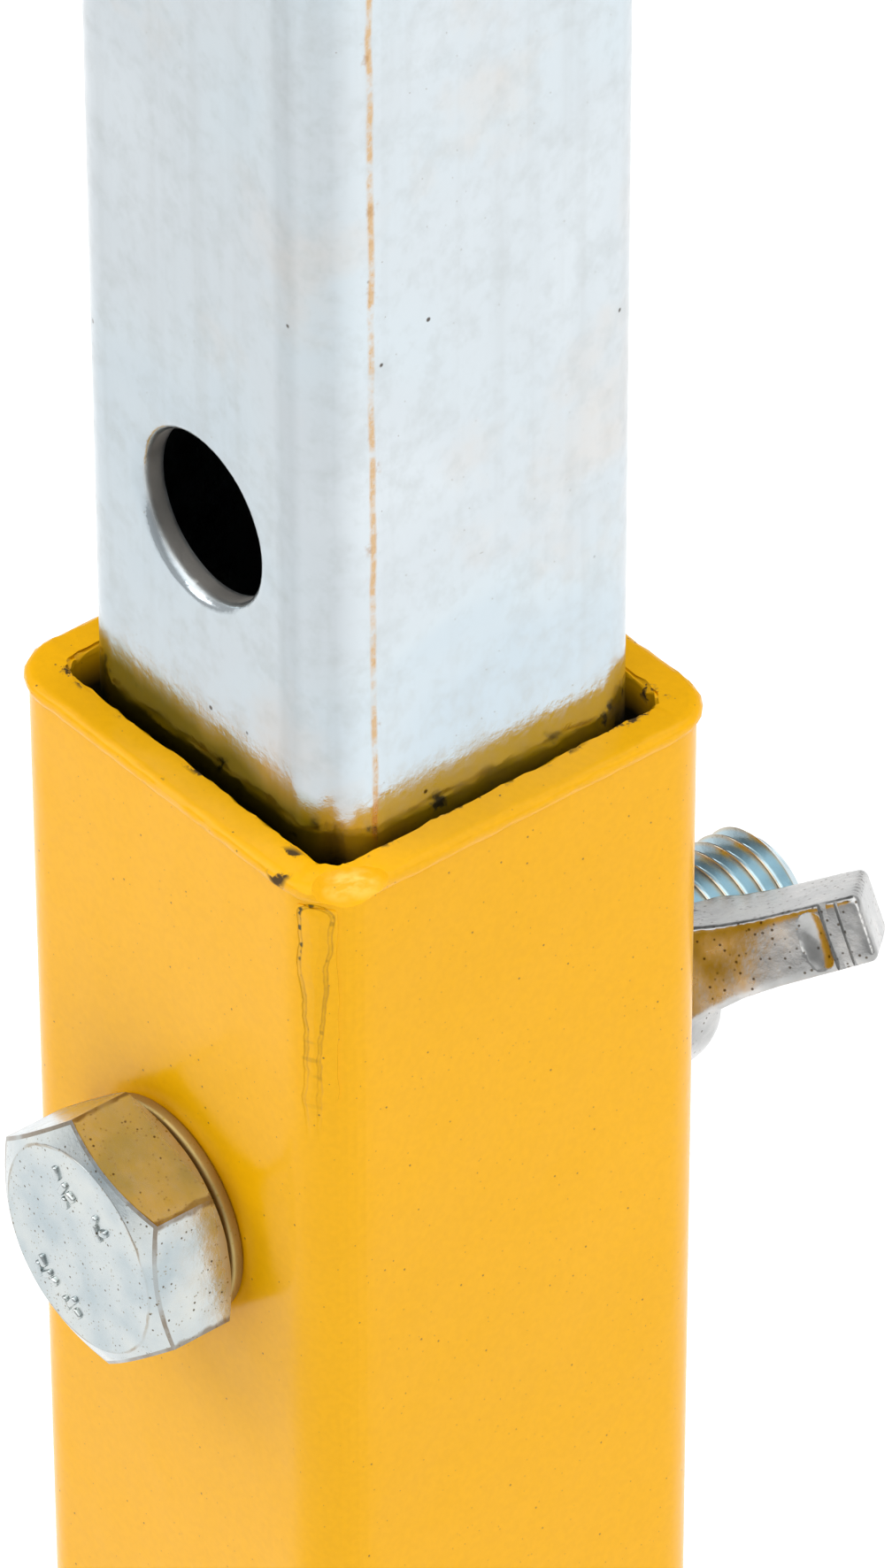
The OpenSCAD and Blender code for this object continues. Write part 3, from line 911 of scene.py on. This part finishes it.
ring = times(tree, ring, ramp(tree, cloud, [(0.45, 0.10), (0.60, 0.70)]))
tone = mix(tree, ring, tone, (0.30, 0.24, 0.16))
flat_out = None
for flat in (10, 70, 130):
    flat = math.radians(flat)
    off = size_of(tree, measure(tree, "DOT_PRODUCT", radial.outputs[0],
                                (math.cos(flat), math.sin(flat), 0)))
    flat_out = off if flat_out is None else combine(tree, "MAXIMUM", flat_out,
                                                    off)
on_flat = combine(tree, "GREATER_THAN", flat_out, 0.0121)
cone = node(tree, "Math", [(0, split.outputs["Y"]), (1, 1 / slope),
                           (2, 0.0115 - (head_front + 0.0001) / slope)],
            operation="MULTIPLY_ADD").outputs[0]
cone = combine(tree, "SUBTRACT", cone, rough_radius)
arris = times(tree, on_flat, band(tree, cone, -0.0003, 0.0003))
corner = remap(tree, rough_radius, 0.01415, 0.0143)
arris = times(tree, combine(tree, "MAXIMUM", arris, corner),
              ramp(tree, cloud, [(0.42, 0.30), (0.58, 0.80)]))
tone = mix(tree, arris, tone, (0.17, 0.12, 0.07))
# Painted reflection: the washer face under the head, next to the sleeve, is
# tinted golden for the yellow sleeve mirrored in it, and made rougher.
painted_sleeve_reflection_zone = remap(tree, split.outputs["Y"], hex_back - 0.0012,
                  hex_back + 0.0002)
washer_only = times(tree, combine(tree, "LESS_THAN", split.outputs["Y"], 0.0),
                    combine(tree, "GREATER_THAN", radius, 0.0098))
painted_sleeve_reflection_zone = times(tree, painted_sleeve_reflection_zone, washer_only)
tone = mix(tree, times(tree, painted_sleeve_reflection_zone, 0.85), tone, (0.42, 0.29, 0.06))
# Painted reflection and shade: past the sleeve the thread's crests are tinted
# golden-brown and the rest of the thread bluish, for what each mirrors.
painted_crest_reflection = remap(tree, radius, 0.0076, 0.0079)
past_sleeve = combine(tree, "GREATER_THAN", split.outputs["Y"], thread_start)
painted_crest_reflection = times(tree, painted_crest_reflection, past_sleeve)
painted_valley_reflection = combine(tree, "SUBTRACT", past_sleeve, painted_crest_reflection)
tone = mix(tree, painted_valley_reflection, tone, (0.40, 0.52, 0.57))
painted_crest_reflection = times(tree, painted_crest_reflection, 0.6)
tone = mix(tree, painted_crest_reflection, tone, (0.52, 0.42, 0.27))
tree.links.new(tone, shader.inputs["Base Color"])
shader.inputs["Metallic"].default_value = 1.0
wear = noise(tree, place, 600.0, 3.0)
wear = remap(tree, wear, 0.3, 0.7, 0.17, 0.27)
wear = combine(tree, "ADD", wear, times(tree, painted_sleeve_reflection_zone, 0.25))
tree.links.new(wear, shader.inputs["Roughness"])
grain = noise(tree, place, 1300.0, 3.0)
tree.links.new(emboss(tree, grain, 0.10, 0.0002), shader.inputs["Normal"])
bolt.data.materials.clear()
bolt.data.materials.append(bright_zinc)


# Washers. Two stamped steel rings, bright zinc plated, with one edge rounded
# by the punch: a thin one under the bolt's head that travels with the bolt,
# and a plain one under the wing nut.
eye_r = 0.00875
for name, piece_name, ring_r, body in (
        ("head_washer", "thin_washer", 0.0120, "cross_bolt"),
        ("nut_washer", "plain_washer", 0.0150, "washer")):
    ring_low, ring_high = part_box(name)
    back, face = ring_low.y, ring_high.y
    if name == "head_washer":
        back, face = face, back
    outward = 1 if face > back else -1
    ring = turned([(back, ring_r - 0.0004), (back + outward * 0.0002,
                                             ring_r - 0.0001),
                   (back + outward * 0.0004, ring_r),
                   (face - outward * 0.0006, ring_r),
                   (face - outward * 0.0003, ring_r - 0.0001),
                   (face - outward * 0.0001, ring_r - 0.0004),
                   (face, ring_r - 0.0008)], (0, bolt_z))
    settle(ring, piece_name)
    eye = turned([(back - outward * 0.001, eye_r),
                  (face - outward * 0.0003, eye_r),
                  (face + outward * 0.001, 0.0100)], (0, bolt_z))
    settle(eye, "eye")
    cut_away(ring, eye)
    smooth(ring, 40)
    ring.data.materials.clear()
    ring.data.materials.append(bright_zinc)
    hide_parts(name)
    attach(ring, body)


# Wing nut. Cast zinc-plated steel: a tapered hub and two upswept wings with
# cast fillets at their roots. The sprue by each tip is ground off to a flat
# facet beside two shallow grooves.
hub_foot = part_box("wing_nut")[0].y
wing_turn, wing_sweep = math.radians(30), math.radians(40)
root_width, root_thick, wing_mid = 0.0150, 0.0135, 0.0055


def wing_place(side, along, across):
    """Where a point of a wing's own frame sits on the bollard."""
    spin = Matrix.Rotation(side - wing_turn, 4, "Y")
    sweep = Matrix.Rotation(wing_sweep, 4, "Z")
    root = Matrix.Translation((0.010, 0.0024, 0))
    return (Matrix.Translation((0, hub_foot, bolt_z)) @ spin @ root @ sweep
            @ Matrix.Translation((along, across, 0)))


wing_nut = turned([(hub_foot, 0.0124), (hub_foot + 0.0005, 0.0129),
                   (hub_foot + 0.0016, 0.0130), (hub_foot + 0.0092, 0.0116),
                   (hub_foot + 0.0103, 0.0111), (hub_foot + 0.0106, 0.0105)],
                  (0, bolt_z))
settle(wing_nut, "wing_nut")
wings = []
for side in (0, math.pi):
    bpy.ops.object.select_all(action="DESELECT")
    bpy.ops.mesh.primitive_cube_add(size=1.0, location=(-0.0045, wing_mid, 0),
                                    scale=(0.001, root_width, root_thick))
    wing = bpy.context.object
    settle(wing, "wing")
    bpy.ops.object.mode_set(mode="EDIT")
    width, thick = root_width, root_thick
    pick("faces", lambda f: f.normal.x > 0.9)
    for step, next_width, next_thick in (
            (0.0040, 0.0140, 0.0125), (0.0030, 0.0124, 0.0107),
            (0.0030, 0.0114, 0.0092), (0.0030, 0.0110, 0.0081),
            (0.0040, 0.0109, 0.0075), (0.0070, 0.0109, 0.0073),
            (0.0031, 0.0108, 0.0072), (0.0005, 0.0098, 0.0063)):
        bpy.ops.mesh.extrude_region_move(
            TRANSFORM_OT_translate={"value": (step, 0, 0)})
        bpy.ops.transform.resize(
            value=(1, next_width / width, next_thick / thick),
            center_override=(0, wing_mid, 0))
        width, thick = next_width, next_thick
    for near_side, slant in ((True, 0.0004), (False, -0.0009)):
        pick("vertices", lambda p: p.co.x > 0.0225 and
             (p.co.y < wing_mid) == near_side)
        bpy.ops.transform.translate(value=(slant, 0, 0))
    bpy.ops.object.mode_set(mode="OBJECT")
    modify(wing, "BEVEL", width=0.0006, segments=3, limit_method="ANGLE",
           angle_limit=math.radians(50))
    wing.matrix_world = wing_place(side, 0, 0)
    settle(wing, "wing")
    wings.append(wing)
join(wing_nut, wings)
modify(wing_nut, "REMESH", mode="VOXEL", voxel_size=0.00034)
modify(wing_nut, "SMOOTH", factor=0.5, iterations=4)
for side in (0, math.pi):
    bpy.ops.object.select_all(action="DESELECT")
    bpy.ops.mesh.primitive_uv_sphere_add(segments=96, ring_count=48,
                                         radius=1.0,
                                         scale=(0.0042, 0.0080, 0.0088))
    facet = bpy.context.object
    facet.matrix_world = wing_place(side, 0.0183, -0.0073) @ facet.matrix_world
    settle(facet, "facet")
    cut_away(wing_nut, facet)
    for along, across, length in ((0.0200, -0.0043, 0.0009),
                                  (0.0215, -0.0045, 0.0004)):
        bpy.ops.object.select_all(action="DESELECT")
        bpy.ops.mesh.primitive_cube_add(size=1.0,
                                        scale=(length, 0.0100, 0.0200))
        groove = bpy.context.object
        groove.matrix_world = wing_place(side, along, across) @ \
            groove.matrix_world
        settle(groove, "groove")
        cut_away(wing_nut, groove)
tapping = turned([(hub_foot - 0.001, 0.0093), (hub_foot + 0.0002, 0.0092),
                  (hub_foot + 0.0013, 0.00805), (hub_foot + 0.0091, 0.00805),
                  (hub_foot + 0.0107, 0.0095), (hub_foot + 0.0250, 0.0098)],
                 (0, bolt_z))
settle(tapping, "tapping")
cut_away(wing_nut, tapping)
smooth(wing_nut, 40)
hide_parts("wing_nut")
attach(wing_nut, "wing_nut")

cast_zinc, tree, shader = material("cast_zinc")
place = node(tree, "TexCoord").outputs["Object"]
cloud = noise(tree, place, 260.0, 5.0)
tone = ramp(tree, cloud, [(0.32, (0.33, 0.33, 0.32)),
                          (0.50, (0.44, 0.44, 0.43)),
                          (0.68, (0.60, 0.59, 0.57))])
pits = spots(tree, place, 1600.0, 0.30, 0.38)
more = spots(tree, place, 700.0, 0.14, 0.10, 0.4)
tone = mix(tree, pits, tone, (0.12, 0.10, 0.08))
tone = mix(tree, more, tone, (0.16, 0.12, 0.08))
tree.links.new(tone, shader.inputs["Base Color"])
shader.inputs["Metallic"].default_value = 1.0
tree.links.new(remap(tree, cloud, 0.3, 0.7, 0.17, 0.29),
               shader.inputs["Roughness"])
grain = noise(tree, place, 900.0, 4.0)
tree.links.new(emboss(tree, grain, 0.13, 0.0003), shader.inputs["Normal"])
wing_nut.data.materials.clear()
wing_nut.data.materials.append(cast_zinc)


# Plastic plugs. Black polyethylene, injection moulded: a domed cap closes
# the post's top and a shoe at its foot slides along the sleeve's bore.
cap = clean_copy("top_cap", "domed_cap", 0.0006, 4)
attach(cap, "inner_post")
shoe = clean_copy("glide_foot", "sliding_shoe", 0.0006, 4)
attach(shoe, "inner_post")

black, tree, shader = material("black_polyethylene")
place = node(tree, "TexCoord").outputs["Object"]
fine = noise(tree, place, 1500.0, 3.0)
tone = ramp(tree, fine, [(0.3, (0.016, 0.016, 0.017)),
                         (0.7, (0.027, 0.027, 0.028))])
scuffing = noise(tree, place, 120.0, 6.0, 0.7)
scuff = ramp(tree, scuffing, [(0.56, 0.0), (0.70, 0.6)])
tone = mix(tree, scuff, tone, (0.070, 0.068, 0.064))
tree.links.new(tone, shader.inputs["Base Color"])
tree.links.new(remap(tree, scuffing, 0.4, 0.7, 0.38, 0.62),
               shader.inputs["Roughness"])
tree.links.new(emboss(tree, fine, 0.25, 0.0002), shader.inputs["Normal"])
for plug in (cap, shoe):
    plug.data.materials.append(black)
